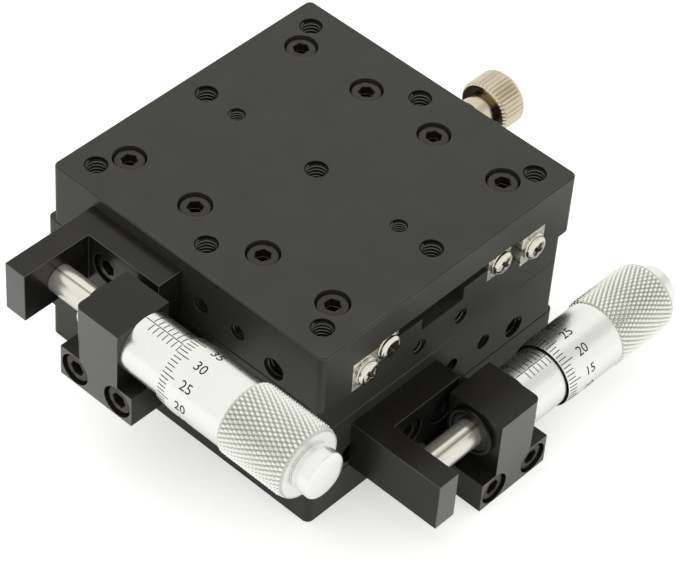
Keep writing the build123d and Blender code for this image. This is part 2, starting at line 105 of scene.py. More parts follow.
class Grain(Enum):
    """How a surface's marks run: stretch of the pattern along the travel, across it and upwards."""

    EVEN = (1.0, 1.0, 1.0)
    ALONG = (0.02, 1.0, 1.0)
    ROUND = (1.0, 0.03, 0.03)
    ROUND_UP = (0.03, 0.03, 1.0)


def linear(code: str) -> tuple[float, float, float, float]:
    """Turns an sRGB hex value to a linear colour.

    Args:
        code: six hex digits after a hash sign.

    Returns:
        Red, green, blue and an alpha of one.
    """
    channels = [int(code[i : i + 2], 16) / 255 for i in (1, 3, 5)]
    red, green, blue = (c / 12.92 if c <= 0.04045 else ((c + 0.055) / 1.055) ** 2.4 for c in channels)
    return (red, green, blue, 1.0)


def cleared(owner: bpy.types.Material | bpy.types.World) -> Tree:
    """Empties the node tree of a material or of the world and returns it."""
    owner.use_nodes = True
    owner.node_tree.nodes.clear()
    return owner.node_tree


def add_node(
    tree: Tree,
    kind: str,
    settings: dict[str | int, object] | None = None,
    links: dict[str | int, Socket] | None = None,
    output: str | int = 0,
) -> Socket | None:
    """Adds one node to a tree.

    Args:
        tree: the material's or the world's node tree.
        kind: the node's type name, without the words that all of them begin with.
        settings: values for its inputs by name or number, or for its own properties.
        links: sockets to join to its inputs.
        output: name or number of the output that is wanted.

    Returns:
        That output, where the node has any.
    """
    node = tree.nodes.new(f"ShaderNode{kind}")
    for name, value in (settings or {}).items():
        if isinstance(name, int) or name in node.inputs:
            node.inputs[name].default_value = value
        else:
            setattr(node, name, value)
    for name, socket in (links or {}).items():
        tree.links.new(socket, node.inputs[name])
    return node.outputs[output] if node.outputs else None


@dataclass(frozen=True)
class Finish:
    """A surface finish: its plain name, base values and fine marks.

    The marks are a noise whose size is mark_mm, stretched by the grain. They vary the roughness by
    rough_spread and the height by bump_mm. A coarser noise of cloud_mm turns the colour towards
    second_colour by tone_spread, where it lies between tone_from and tone_to.
    """

    title: str
    colour: str
    second_colour: str
    metallic: float
    roughness: float
    mark_mm: float
    rough_spread: float
    tone_spread: float
    bump_mm: float
    grain: Grain = Grain.EVEN
    specular: float = 0.5
    cloud_mm: float = 6.0
    tone_from: float = 0.3
    tone_to: float = 0.7
    travel: Axis = Axis.X

    def on(self, travel: Axis) -> Finish:
        """The same finish with its grain laid out by a stage's travel."""
        return replace(self, title=f"{self.title}_{travel.name.lower()}", travel=travel)

    def material(self) -> bpy.types.Material:
        """Builds the material, or returns it if it was built before."""
        return bpy.data.materials.get(self.title) or self._build()

    def _build(self) -> bpy.types.Material:
        """Builds the node tree: clouds of tone, fine marks in roughness and a light bump."""
        material = bpy.data.materials.new(self.title)
        tree = cleared(material)
        along, across, upwards = self.grain.value
        stretch = (along, across, upwards) if self.travel is Axis.X else (across, along, upwards)
        place = add_node(tree, "TexCoord", output="Object")
        at = {"Vector": add_node(tree, "Mapping", {"Scale": stretch}, {"Vector": place})}
        fine = {"Scale": 1 / (self.mark_mm * MM), "Detail": 3.0, "Roughness": 0.6}
        marks = add_node(tree, "TexNoise", fine, at, "Fac")
        coarse = {"Scale": 1 / (self.cloud_mm * MM), "Detail": 2.0}
        clouds = add_node(tree, "TexNoise", coarse, at, "Fac")
        smoothest = max(self.roughness - self.rough_spread, 0.02)
        span = {"To Min": smoothest, "To Max": self.roughness + self.rough_spread}
        rough = add_node(tree, "MapRange", span, {"Value": marks})
        span = {"From Min": self.tone_from, "From Max": self.tone_to, "To Max": self.tone_spread}
        share = add_node(tree, "MapRange", span, {"Value": clouds})
        tones = {"data_type": "RGBA", 6: linear(self.colour), 7: linear(self.second_colour)}
        tone = add_node(tree, "Mix", tones, {0: share}, 2)
        bump = add_node(tree, "Bump", {"Strength": 1.0, "Distance": self.bump_mm * MM}, {"Height": marks})
        shares = {"Metallic": self.metallic, "Specular IOR Level": self.specular}
        skin = {"Base Color": tone, "Roughness": rough, "Normal": bump}
        surface = add_node(tree, "BsdfPrincipled", shares, skin)
        add_node(tree, "OutputMaterial", links={"Surface": surface})
        return material


class Finishes:
    """Every finish of the stage. The marks are real sizes of blasting, milling, turning and grinding."""

    # A dyed oxide skin over a bead-blasted face: dark, with a soft sheen.
    anodised = Finish(
        "Black_anodised_aluminium", "#31312d", "#363632", 0.0, 0.38, 0.25, 0.05, 0.8, 0.003, specular=0.27
    )
    # The arm and the block are milled from bar, so their skin is smoother and darker.
    bar = Finish(
        "Black_anodised_bar_along", "#1a1917", "#201f1c", 0.0, 0.25, 0.25, 0.05, 0.8, 0.002, Grain.ALONG, 0.3
    )
    # Their outermost face towards the front is painted a lighter grey, as the light that falls on it.
    fly_cut = Finish(
        "Black_anodised_painted_lit_face", "#4c4c4e", "#545456", 0.2, 0.35, 0.2, 0.05, 0.8, 0.003, specular=1.0
    )
    # The broken edges are painted a lighter metal, as a thin highlight along each edge.
    rubbed = Finish("Painted_highlight_anodised_edge", "#42423f", "#555551", 0.4, 0.3, 0.3, 0.08, 1.0, 0.0)
    # Black oxide over turned steel: brownish black rings. The drilled floor of a socket is nearly bare.
    oxide = Finish(
        "Black_oxide_screw_steel", "#3a3734", "#46423f", 0.75, 0.3, 0.2, 0.08, 0.8, 0.003, Grain.ROUND_UP
    )
    socket_floor = Finish("Drilled_socket_floor", "#a89e99", "#8f8681", 0.6, 0.45, 0.2, 0.08, 0.8, 0.0)
    # Black oxide of the clamp nut. The same black is painted into the thimble's bore as shade, and on the
    # sleeve's stem.
    dark_nut = Finish("Black_oxide_nut", "#0c0c0b", "#141413", 0.0, 0.35, 0.2, 0.05, 0.8, 0.0, specular=0.4)
    # Thread roots are painted darker than the plate as shade in the hole; the crest is painted bright as a
    # fine spiral highlight.
    thread = Finish(
        "Black_anodised_thread_painted_shade", "#0c0c0b", "#121211", 0.0, 0.6, 0.3, 0.05, 0.6, 0.0, specular=0.2
    )
    crest = Finish("Painted_highlight_thread_crest", "#62625e", "#52524e", 0.8, 0.3, 0.3, 0.05, 0.6, 0.0)
    # Bright nickel mirrors the room; the punched cross in it is painted brown as shade.
    nickel = Finish("Bright_nickel_plate", "#e2ded6", "#d4cfc6", 1.0, 0.1, 0.4, 0.04, 0.7, 0.001)
    recess = Finish("Painted_shade_cross_recess", "#3a2c22", "#54463a", 0.5, 0.4, 0.2, 0.08, 1.0, 0.0)
    warm_nickel = Finish("Warm_nickel_plate", "#d9cfbb", "#c8bda8", 1.0, 0.2, 0.4, 0.06, 0.7, 0.002)
    # Satin chrome takes in the white room. Its turning marks run round and spread what it mirrors.
    satin = Finish(
        "Satin_chrome_turned_round", "#f2f4f2", "#eff1ef", 1.0, 0.27, 0.06, 0.05, 0.6, 0.0, Grain.ROUND
    )
    knurl = Finish("Satin_chrome_knurled", "#f6f7f4", "#eeefec", 1.0, 0.22, 0.3, 0.05, 0.6, 0.0)
    # The knurl's deep faces get a duller chrome as painted shade.
    groove = Finish("Satin_chrome_knurl_painted_shade", "#d4d5d1", "#caccc8", 0.9, 0.3, 0.3, 0.05, 0.8, 0.0)
    # Ground steel, with dark lines along it painted in as reflections of dark things.
    ground = Finish(
        "Ground_steel_along", "#e6e4dc", "#7c776c", 0.8, 0.24, 0.3, 0.03, 1.0, 0.0005, Grain.ALONG,
        cloud_mm=1.1, tone_from=0.55, tone_to=0.72,
    )
    brass = Finish("Rolled_brass_strip", "#b39a5a", "#a58c4e", 1.0, 0.35, 0.2, 0.08, 0.6, 0.001)
    wire = Finish("Drawn_spring_wire", "#8d8c89", "#7d7c79", 1.0, 0.3, 0.2, 0.08, 0.6, 0.001)
    # Filler paint in the engraved marks is matt, so it stays black on the bright chrome.
    ink = Finish("Black_graduation_filler", "#1d1d1f", "#2a2a2c", 0.0, 0.8, 0.1, 0.05, 0.5, 0.0, specular=0.0)


PLATE_COATS = (Finishes.anodised, Finishes.anodised, Finishes.rubbed)


@dataclass(frozen=True)
class StageAxes:
    """The axes of one table or base: u along its travel, v across it, w up from the base's underside.

    Sizes along them are in millimetres, and places come back in metres.
    """

    origin: Vector
    travel: Axis

    @property
    def along(self) -> Vector:
        """Unit vector of u."""
        return Vector(self.travel.value)

    @property
    def across(self) -> Vector:
        """Unit vector of v."""
        return UP.cross(self.along)

    def point(self, u: float, v: float, w: float) -> Vector:
        """Place of a point in metres."""
        return self.origin + (self.along * u + self.across * v + UP * w) * MM

    def facing(self, u: float, v: float, w: float, normal: Vector, turn: float = 0.0) -> Matrix:
        """Matrix that lays a shape's +Z along a normal at a point.

        Args:
            u: place along the travel.
            v: place across the travel.
            w: height.
            normal: direction for the shape's +Z.
            turn: angle in radians about that direction.

        Returns:
            The matrix, which also turns millimetres to metres.
        """
        tilt = normal.to_track_quat("Z", "Y").to_matrix().to_4x4() @ Matrix.Rotation(turn, 4, "Z")
        return Matrix.Translation(self.point(u, v, w)) @ tilt @ Matrix.Scale(MM, 4)

    def head(self, u: float, v: float, w: float) -> Matrix:
        """Matrix that lays a shape's +X along the travel and its +Z up, at a point."""
        sides = Matrix((self.along, self.across, UP)).transposed().to_4x4()
        return Matrix.Translation(self.point(u, v, w)) @ sides @ Matrix.Scale(MM, 4)


def mesh_of(shape: Shape, name: str) -> bpy.types.Mesh:
    """Turns a shape to mesh data with a name, and frees the shape."""
    mesh = bpy.data.meshes.new(name)
    shape.to_mesh(mesh)
    shape.free()
    return mesh


def absorb(shape: Shape, mesh: bpy.types.Mesh) -> None:
    """Adds mesh data to a shape and deletes the data."""
    shape.from_mesh(mesh)
    bpy.data.meshes.remove(mesh)


def linked(name: str, data: bpy.types.ID) -> bpy.types.Object:
    """Makes an object with a name of its data, in the scene."""
    made = bpy.data.objects.new(name, data)
    bpy.context.scene.collection.objects.link(made)
    return made


def copied(one: Shape, places: Iterable[Matrix]) -> Shape:
    """Lays a copy of a shape at each place.

    Args:
        one: the shape in millimetres, which is freed.
        places: the matrices.

    Returns:
        A shape that holds every copy, in metres.
    """
    pattern = mesh_of(one, "pattern")
    whole = bmesh.new()
    for matrix in places:
        before = len(whole.verts)
        whole.from_mesh(pattern)
        bmesh.ops.transform(whole, matrix=matrix, verts=whole.verts[before:])
    bpy.data.meshes.remove(pattern)
    whole.normal_update()
    return whole


def draw(shape: Shape, points: Iterable[Iterable[float]]) -> Drawn:
    """Draws a closed loop through points in a shape, and returns its corners and its sides."""
    corners = [shape.verts.new(point) for point in points]
    return corners, [shape.edges.new(pair) for pair in zip(corners, corners[1:] + corners[:1])]


def side_view(shape: Shape, outline: Outline) -> Drawn:
    """Draws an outline of (station, radius) points above the X axis."""
    return draw(shape, [(station, 0.0, radius) for station, radius in outline])


def straight(start: float, end: float, low: float, high: float) -> Outline:
    """Outline of a band between two stations and two radii."""
    return [(start, low), (start, high), (end, high), (end, low)]


def rim_of(made: dict[str, list]) -> Drawn:
    """Corners and sides of a circle that an operator has made."""
    return made["verts"], list({edge for vert in made["verts"] for edge in vert.link_edges})


def ring(shape: Shape, sides: int, radius: float, height: float) -> Edges:
    """Draws one regular loop about the Z axis and returns its edges."""
    at = Matrix.Translation((0, 0, height))
    return rim_of(bmesh.ops.create_circle(shape, segments=sides, radius=radius, matrix=at))[1]


def spin(
    shape: Shape,
    drawn: Drawn,
    axis: Place,
    angle: float,
    steps: int,
    rise: float = 0.0,
    centre: Place = (0, 0, 0),
) -> None:
    """Spins a closed loop about an axis. Where it isn't a plain full turn, both ends are closed.

    Args:
        shape: the mesh that holds the loop.
        drawn: its corners and sides.
        axis: the axis.
        angle: the whole angle in radians.
        steps: faces along the way.
        rise: how far it climbs along the axis.
        centre: a point on the axis.
    """
    corners, sides = drawn
    full = angle == FULL_TURN and not rise
    about = {"cent": centre, "axis": axis, "dvec": Vector(axis) * rise / steps}
    made = bmesh.ops.spin(
        shape, geom=corners + sides, **about, angle=angle, steps=steps, use_merge=full
    )
    if not full:
        last = [part for part in made["geom_last"] if isinstance(part, bmesh.types.BMEdge)]
        for rim in (sides, last):
            bmesh.ops.edgeloop_fill(shape, edges=rim)


def soften(shape: Shape, width: float, least: float = 25.0) -> list[bmesh.types.BMFace]:
    """Rounds every edge that turns by more than an angle.

    Args:
        shape: the mesh, in the unit that width has.
        width: size of the rounding.
        least: the angle in degrees.

    Returns:
        The faces of the rounding.
    """
    least = math.radians(least)
    sharp = [edge for edge in shape.edges if len(edge.link_faces) == 2 and edge.calc_face_angle() > least]
    form = {"segments": 2, "profile": 0.5, "affect": "EDGES", "clamp_overlap": True, "material": -1}
    return bmesh.ops.bevel(shape, geom=sharp, offset=width, **form)["faces"]


def turned(outline: Outline, edge: float, steps: int = 96) -> Shape:
    """Turns a closed outline about the X axis and breaks its sharp edges.

    Args:
        outline: corners as (station, radius), in order.
        edge: size of the broken edges.
        steps: faces round the axis.

    Returns:
        The turned solid.
    """
    shape = bmesh.new()
    spin(shape, side_view(shape, outline), (1, 0, 0), FULL_TURN, steps)
    bmesh.ops.remove_doubles(shape, verts=shape.verts, dist=1e-4)
    bmesh.ops.dissolve_degenerate(shape, dist=1e-5, edges=shape.edges)
    bmesh.ops.recalc_face_normals(shape, faces=shape.faces)
    soften(shape, edge)
    return shape


def swept_band(shape: Shape, outline: Outline, start: float, sweep: float, steps: int) -> None:
    """Sweeps a small closed outline of (station, radius) points part of the way round the X axis.

    Args:
        shape: the mesh that gets the band.
        outline: corners in order.
        start: first angle in radians, from the top, growing from +Z towards -Y.
        sweep: angle that the band covers.
        steps: faces along the band.
    """
    drawn = side_view(shape, outline)
    bmesh.ops.rotate(shape, verts=drawn[0], cent=(0, 0, 0), matrix=Matrix.Rotation(start, 3, "X"))
    spin(shape, drawn, (1, 0, 0), sweep, steps)


def join_rings(shape: Shape, rings: list[Edges]) -> None:
    """Skins a row of loops and closes both ends.

    Loops with equal counts are bridged. Between two that differ, which lie in one plane, the flat
    face is filled.

    Args:
        shape: the mesh that holds the loops.
        rings: each loop's edges, in order.
    """
    for lower, upper in zip(rings, rings[1:]):
        if len(lower) == len(upper):
            bmesh.ops.bridge_loops(shape, edges=lower + upper)
        else:
            bmesh.ops.triangle_fill(shape, edges=lower + upper, use_beauty=True)
    for rim in (rings[0], rings[-1]):
        bmesh.ops.edgeloop_fill(shape, edges=rim)
    bmesh.ops.recalc_face_normals(shape, faces=shape.faces)


def stacked(loops: Iterable[tuple[int, float, float]]) -> Shape:
    """Makes a solid of regular loops of (sides, radius, height) about the Z axis, in order."""
    shape = bmesh.new()
    join_rings(shape, [ring(shape, *loop) for loop in loops])
    return shape


@dataclass(frozen=True)
class Stretch:
    """Two bodies that pull on a springy piece, and where each one's hold on it stops."""

    first: str
    second: str
    start: Vector
    end: Vector


@dataclass
class Workshop:
    """Turns finished shapes to objects that ride on the frame."""

    frame: dict
    made: list[str] = field(default_factory=list)

    def body_of(self, node: str) -> str:
        """Name of the body that a CAD node rides on."""
        return self.frame["nodes"][node]["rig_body"]

    def place(
        self,
        shape: Shape,
        name: str,
        coats: Iterable[Finish],
        node: str,
        matrix: Matrix | None = None,
        stands_for: Iterable[str] = (),
        smooth_below: float = 32.0,
        stretch: Stretch | None = None,
    ) -> bpy.types.Object:
        """Makes an object of a shape and lets it ride with a CAD node.

        Args:
            shape: the mesh, which is freed.
            name: the object's name.
            coats: its finishes by the material index of its faces.
            node: the CAD node whose body it rides on.
            matrix: brings the shape to its place, in metres.
            stands_for: CAD nodes that it replaces.
            smooth_below: angle in degrees under which an edge is shaded smooth.
            stretch: the two bodies at its ends; where given, the piece rides on neither and stays where it
                is.

        Returns:
            The new object.
        """
        if matrix is not None:
            bmesh.ops.transform(shape, matrix=matrix, verts=shape.verts)
        for face in shape.faces:
            face.smooth = True
        for edge in shape.edges:
            if len(edge.link_faces) == 2:
                edge.smooth = edge.calc_face_angle() < math.radians(smooth_below)
        mesh = mesh_of(shape, name)
        for coat in coats:
            mesh.materials.append(coat.material())
        piece = linked(name, mesh)
        piece.modifiers.new("Even_shading", "WEIGHTED_NORMAL").keep_sharp = True
        if stretch is None:
            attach(piece, self.body_of(node))
        else:
            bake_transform(piece)
        replaced = list(stands_for)
        if replaced:
            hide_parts(*replaced)
        self.made.append(name)
        log.info("%s rides on %s, %d faces", name, self.body_of(node), len(mesh.polygons))
        return piece

    def screws(
        self, node: str, screw: SocketScrew | PanScrew | SetScrew, places: Iterable[Matrix]
    ) -> None:
        """Makes equal screws in place of a CAD node.

        Args:
            node: the CAD node.
            screw: the screw.
            places: where each one stands.
        """
        self.place(copied(screw.shape(), places), f"{node}_detail", screw.coats, node, stands_for=[node])

    def paint(self, node: str, finish: Finish) -> None:
        """Gives a CAD node its finish."""
        slots = self.frame["nodes"][node].data.materials
        slots.clear()
        slots.append(finish.material())

    def milled(self, node: str, coats: tuple[Finish, ...], outwards: Vector, edge: float = 0.2 * MM) -> None:
        """Replaces a CAD node by a copy whose sharp edges are broken.

        Args:
            node: the CAD node.
            coats: the finishes of most faces, of the outer face, which may be painted lighter as lit, and of
                the broken edges, which carry a painted highlight.
            outwards: direction that its outer face looks in.
            edge: size of the broken edges in metres.
        """
        shape = bmesh.new()
        shape.from_mesh(self.frame["nodes"][node].data)
        bmesh.ops.remove_doubles(shape, verts=shape.verts, dist=2e-6)
        bmesh.ops.dissolve_limit(shape, angle_limit=math.radians(0.5), verts=shape.verts, edges=shape.edges)
        broken = soften(shape, edge)
        # The outermost face takes the second coat, which on the arm and the block is painted lighter as lit.
        reach = max(vert.co.dot(outwards) for vert in shape.verts) - edge
        for face in shape.faces:
            looks_out = face.normal.dot(outwards) > 0.99
            face.material_index = int(looks_out and face.calc_center_median().dot(outwards) > reach)
        # The broken edges get the painted highlight.
        for face in broken:
            face.material_index = 2
        self.place(shape, f"{node}_body", coats, node, stands_for=[node])


@dataclass(frozen=True)
class SocketScrew:
    """Cap screw with a hexagon socket. Its seat is at height 0 and its head above it."""

    head_radius: float
    head_height: float
    shank_radius: float
    length: float
    socket_flats: float
    socket_depth: float
    edge: float = 0.45
    tip: float = 0.3
    sides: int = 48
    coats: tuple[Finish, ...] = (Finishes.oxide, Finishes.socket_floor)

    def shape(self) -> Shape:
        """Builds the screw in millimetres. The socket's floor is a shallow drill point."""
        corner = self.socket_flats / math.sqrt(3)
        top = self.head_height
        head, shank, edge = self.head_radius, self.shank_radius, self.edge
        socket = [
            (6, 0.15, top - self.socket_depth - 0.35),
            (6, corner * 0.9, top - self.socket_depth),
            (6, corner * 0.96, top - self.socket_depth),
            (6, corner, top - 0.1),
            (6, corner * 1.08, top),
        ]
        outside = [
            (head - edge, top),
            (head - edge * 0.3, top - edge * 0.3),
            (head, top - edge),
            (head, 0.0),
            (shank, 0.0),
            (shank, self.tip - self.length),
            (shank - self.tip, -self.length),
        ]
        mesh = stacked(socket + [(self.sides, radius, height) for radius, height in outside])
        for face in mesh.faces:
            middle = face.calc_center_median()
            low = abs(middle.z - top + self.socket_depth) < 0.4
            if low and middle.xy.length < corner and face.normal.z > 0.5:
                face.material_index = 1
        return mesh


# Radius and pitch of the taps.
M3_TAP = (1.5, 0.5)
M4_TAP = (2.0, 0.7)
PRELOAD_TAP = (2.1, 0.7)

M3_SCREW = SocketScrew(2.65, 2.9, 1.45, 8.0, 2.5, 1.6)
M3_LONG_SCREW = SocketScrew(2.65, 2.9, 1.45, 20.0, 2.5, 1.6)
M4_SCREW = SocketScrew(3.5, 4.0, 1.95, 8.0, 3.0, 2.0)


@dataclass(frozen=True)
class PanScrew:
    """Pan-head screw with a flange and a cross recess. Its seat is at height 0 and its head above it."""

    head_radius: float = 2.4
    head_height: float = 1.3
    shank_radius: float = 0.95
    length: float = 3.0
    crown_radius: float = 1.35
    arm: float = 1.2
    arm_width: float = 0.6
    recess_depth: float = 0.9
    sides: int = 48
    coats: tuple[Finish, ...] = (Finishes.nickel, Finishes.recess)

    def _cross(self, shape: Shape, arm_share: float, width_share: float, height: float) -> Edges:
        """Draws one loop of the cross.

        Args:
            shape: the mesh that gets the loop.
            arm_share: reach of each arm, as a share of the arm.
            width_share: width of each arm, as a share of its width.
            height: the loop's height.

        Returns:
            The loop's edges.
        """
        arm = self.arm * arm_share
        half = self.arm_width / 2 * width_share
        notch = half * 1.35
        quarter = [Vector((arm, -half, height)), Vector((arm, half, height)), Vector((notch, notch, height))]
        turns = [Matrix.Rotation(i * math.pi / 2, 3, "Z") for i in range(4)]
        return draw(shape, [turn @ corner for turn in turns for corner in quarter])[1]

    def shape(self) -> Shape:
        """Builds the screw in millimetres."""
        mesh = bmesh.new()
        top = self.head_height
        head = self.head_radius
        profile = [
            (self.shank_radius, -self.length),
            (self.shank_radius, 0.0),
            (head - 0.1, 0.0),
            (head, 0.1),
            (head, 0.42),
            (head - 0.08, 0.52),
            (head - 0.22, 0.54),
            (head - 0.24, 0.82),
            (head - 0.36, 1.04),
            (head - 0.62, top - 0.1),
            (self.crown_radius, top),
        ]
        rings = [ring(mesh, self.sides, radius, height) for radius, height in profile]
        crosses = ((1.0, 1.0, top), (0.9, 0.85, top - 0.2), (0.35, 0.7, top - self.recess_depth))
        join_rings(mesh, rings + [self._cross(mesh, *cross) for cross in crosses])
        # The cross recess is painted brown as shade.
        for face in mesh.faces:
            middle = face.calc_center_median()
            if middle.xy.length < self.arm and 0 < middle.z < top - 0.05:
                face.material_index = 1
        return mesh


@dataclass(frozen=True)
class SetScrew:
    """Headless screw with a hexagon socket. Its point is at height 0."""

    radius: float = 2.05
    length: float = 5.0
    socket_flats: float = 2.0
    sides: int = 40
    coats: tuple[Finish, ...] = (Finishes.oxide,)

    def shape(self) -> Shape:
        """Builds the screw in millimetres."""
        corner = self.socket_flats / math.sqrt(3)
        return stacked(
            [
                (6, 0.15, self.length - 2.3),
                (6, corner * 0.95, self.length - 2.0),
                (6, corner, self.length),
                (self.sides, self.radius - 0.3, self.length),
                (self.sides, self.radius, self.length - 0.3),
                (self.sides, self.radius, 0.4),
                (self.sides, self.radius - 0.5, 0.0),
            ]
        )


@dataclass(frozen=True)
class StageSizes:
    """Sizes of a stage that its screws, holes and micrometer go by, in millimetres."""

    half_side: float = 30.0
    height: float = 20.0
    deck_height: float = 7.4
    rail_height: float = 10.6
    inner_rail: float = 13.5
    outer_rail: float = 20.0
    rail_back: float = 22.75
    rail_stations: tuple[float, ...] = (-22.5, -7.5, 7.5, 22.5)
    bore_depth: float = 3.3
    large_bore_depth: float = 4.4
    grid: float = 25.0
    grid_tap_depth: float = 8.0
    small_taps: float = 18.0
    relief_ceiling: float = 14.2
    side_taps: tuple[float, ...] = (-12.0, -4.0, 4.0, 12.0)
    side_tap_height: float = 12.7
    side_tap_depth: float = 6.5
    preload_place: float = 20.0
    preload_height: float = 10.5
    preload_length: float = 5.0
    end_tap_place: float = 5.0
    end_tap_height: float = 3.75
    end_tap_depth: float = 6.0
    arm_face: float = -35.2
    block_face: float = -47.5
    block_screw_place: float = 4.75
    block_screw_height: float = 3.1
    plate_face: float = 33.4
    plate_screw_place: float = 8.0
    lock_place: float = 4.0


SIZES = StageSizes()


@dataclass
class Fasteners:
    """Every screw of one stage. Each is turned by its own angle, as hands leave them."""

    base: StageAxes
    table: StageAxes
    prefix: str
    lock_middle: float

    def build(self, workshop: Workshop) -> None:
        """Makes each group of screws in place of its CAD node."""
        s, base, table, far = SIZES, self.base, self.table, self.base.across
        rows = [(i, u, k) for i, u in enumerate(s.rail_stations) for k in BOTH]
        top = s.height - s.bore_depth
        arm = s.arm_face + s.bore_depth
        block = s.block_face + s.bore_depth
        outer = [(u, k * s.outer_rail, top, UP, 0.3 * i + k) for i, u, k in rows]
        inner = [(u, k * s.inner_rail, s.bore_depth, -UP, 0.4 * i) for i, u, k in rows]
        arms = [(u, arm, s.side_tap_height, -far, 0.5 * i) for i, u in enumerate(s.side_taps[:2])]
        blocks = [(k * s.block_screw_place, block, s.block_screw_height, -far, 0.4 * k) for k in BOTH]
        middles = [(k, self.lock_middle + k * s.plate_screw_place) for k in BOTH]
        plates = [(u, s.plate_face, s.end_tap_height, far, 0.3 * k) for k, u in middles]
        preload = [
            (end * s.preload_place, k * s.rail_back, s.preload_height, far * k, 0.2) for end, k in PAIRS
        ]
        outer_ends, inner_ends = (
            [
                (end * s.half_side, k * rail, s.rail_height, base.along * end, 0.5 + 0.9 * k + rail)
                for end, k in PAIRS
            ]
            for rail in (s.outer_rail, s.inner_rail)
        )
        for name, screw, axes, places in (
            ("outer_rail_screws", M3_SCREW, table, outer),
            ("inner_rail_screws", M3_SCREW, base, inner),
            ("arm_screws", M3_SCREW, table, arms),
            ("block_screws", M3_LONG_SCREW, base, blocks),
            ("lock_plate_screws", M3_SCREW, base, plates),
            ("preload_screws", SetScrew(), table, preload),
            ("outer_end_screws", PanScrew(), table, outer_ends),
            ("inner_end_screws", PanScrew(), base, inner_ends),
        ):
            workshop.screws(f"{self.prefix}_{name}", screw, [axes.facing(*place) for place in places])


@dataclass(frozen=True)
class Thread:
    """Internal thread of a tapped hole, cut down from a mouth at height 0."""

    radius: float
    pitch: float
    depth: float
    lead: float = 0.05
    crest_share: float = 0.26
    steps_each: int = 28

    def _wound(self, radius: float, depth: float, width: float, top: float) -> Shape:
        """Winds a ridge of three corners about the Z axis.

        Args:
            radius: the ridge's foot.
            depth: how far it stands in from its foot.
            width: its width at the foot.
            top: height of its first turn.

        Returns:
            The ridge.
        """
        shape = bmesh.new()
        length = self.depth - self.pitch - 0.4
        turns = length / self.pitch
        points = [(radius, 0.0, top), (radius - depth, 0.0, top - width / 2), (radius, 0.0, top - width)]
        steps = round(turns * self.steps_each)
        spin(shape, draw(shape, points), (0, 0, 1), FULL_TURN * turns, steps, -length)
        bmesh.ops.recalc_face_normals(shape, faces=shape.faces)
        return shape

    def root(self) -> Shape:
        """Builds the wall and ridge, which carry painted shade, in millimetres."""
        shape = self._wound(self.radius, self.pitch / 2, 0.9 * self.pitch, -self.lead)
        upper, lower = (ring(shape, 40, self.radius - 0.015, height) for height in (-0.21, 0.3 - self.depth))
        wall = bmesh.ops.bridge_loops(shape, edges=upper + lower)["faces"]
        bmesh.ops.recalc_face_normals(shape, faces=wall)
        bmesh.ops.reverse_faces(shape, faces=wall)
        return shape

    def crest(self) -> Shape:
        """Builds the narrow crest, which carries a painted highlight, in millimetres."""
        radius = self.radius - self.pitch / 2 + 0.06
        return self._wound(radius, 0.1, self.crest_share * self.pitch, -self.lead - 0.33 * self.pitch)


@dataclass
class Threads:
    """The threads that show in one stage's open holes."""

    base: StageAxes
    table: StageAxes
    prefix: str
    top_open: bool

    def build(self, workshop: Workshop) -> None:
        """Makes the threads of the table and of the base."""
        s, base, table, far = SIZES, self.base, self.table, self.table.across
        through = s.height - s.relief_ceiling
        preload = Thread(*PRELOAD_TAP, s.half_side - s.rail_back - s.preload_length)
        side = Thread(*M3_TAP, s.side_tap_depth)
        groups = [
            (preload, [(e * s.preload_place, k * s.half_side, s.preload_height, far * k) for e, k in PAIRS]),
            (side, [(u, -s.half_side, s.side_tap_height, -far) for u in s.side_taps[2:]]),
            (side, [(u, s.half_side, s.side_tap_height, far) for u in s.side_taps if u != s.lock_place]),
        ]
        if self.top_open:
            thirds = (-s.grid, 0.0, s.grid)
            for thread, spots in (
                (Thread(*M4_TAP, s.grid_tap_depth), [(u, v) for u in thirds for v in (-s.grid, s.grid)]),
                (Thread(*M4_TAP, through), [(u, 0.0) for u in thirds]),
                (Thread(*M3_TAP, through), [(-s.small_taps, 0.0), (s.small_taps, 0.0)]),
            ):
                groups.append((thread, [(u, v, s.height, UP) for u, v in spots]))
        ends = [(s.half_side, k * s.end_tap_place, s.end_tap_height, base.along) for k in BOTH]
        self._cut(workshop, "table", table, groups)
        self._cut(workshop, "base", base, [(Thread(*M3_TAP, s.end_tap_depth), ends)])

    def _cut(
        self, workshop: Workshop, name: str, axes: StageAxes, groups: list[tuple[Thread, list[tuple]]]
    ) -> None:
        """Makes the roots and the crests of one plate's threads.

        Args:
            workshop: makes the objects.
            name: the plate's CAD node without its prefix.
            axes: the plate's axes.
            groups: each thread with the places and directions that it is cut at.
        """
        node = f"{self.prefix}_{name}"
        parts: tuple[tuple[str, Callable[[Thread], Shape], Finish], ...] = (
            ("roots", Thread.root, Finishes.thread),
            ("crests", Thread.crest, Finishes.crest),
        )
        for part, build, finish in parts:
            whole = bmesh.new()
            for thread, places in groups:
                copies = copied(build(thread), [axes.facing(*place) for place in places])
                absorb(whole, mesh_of(copies, part))
            workshop.place(whole, f"{node}_thread_{part}", [finish], node)


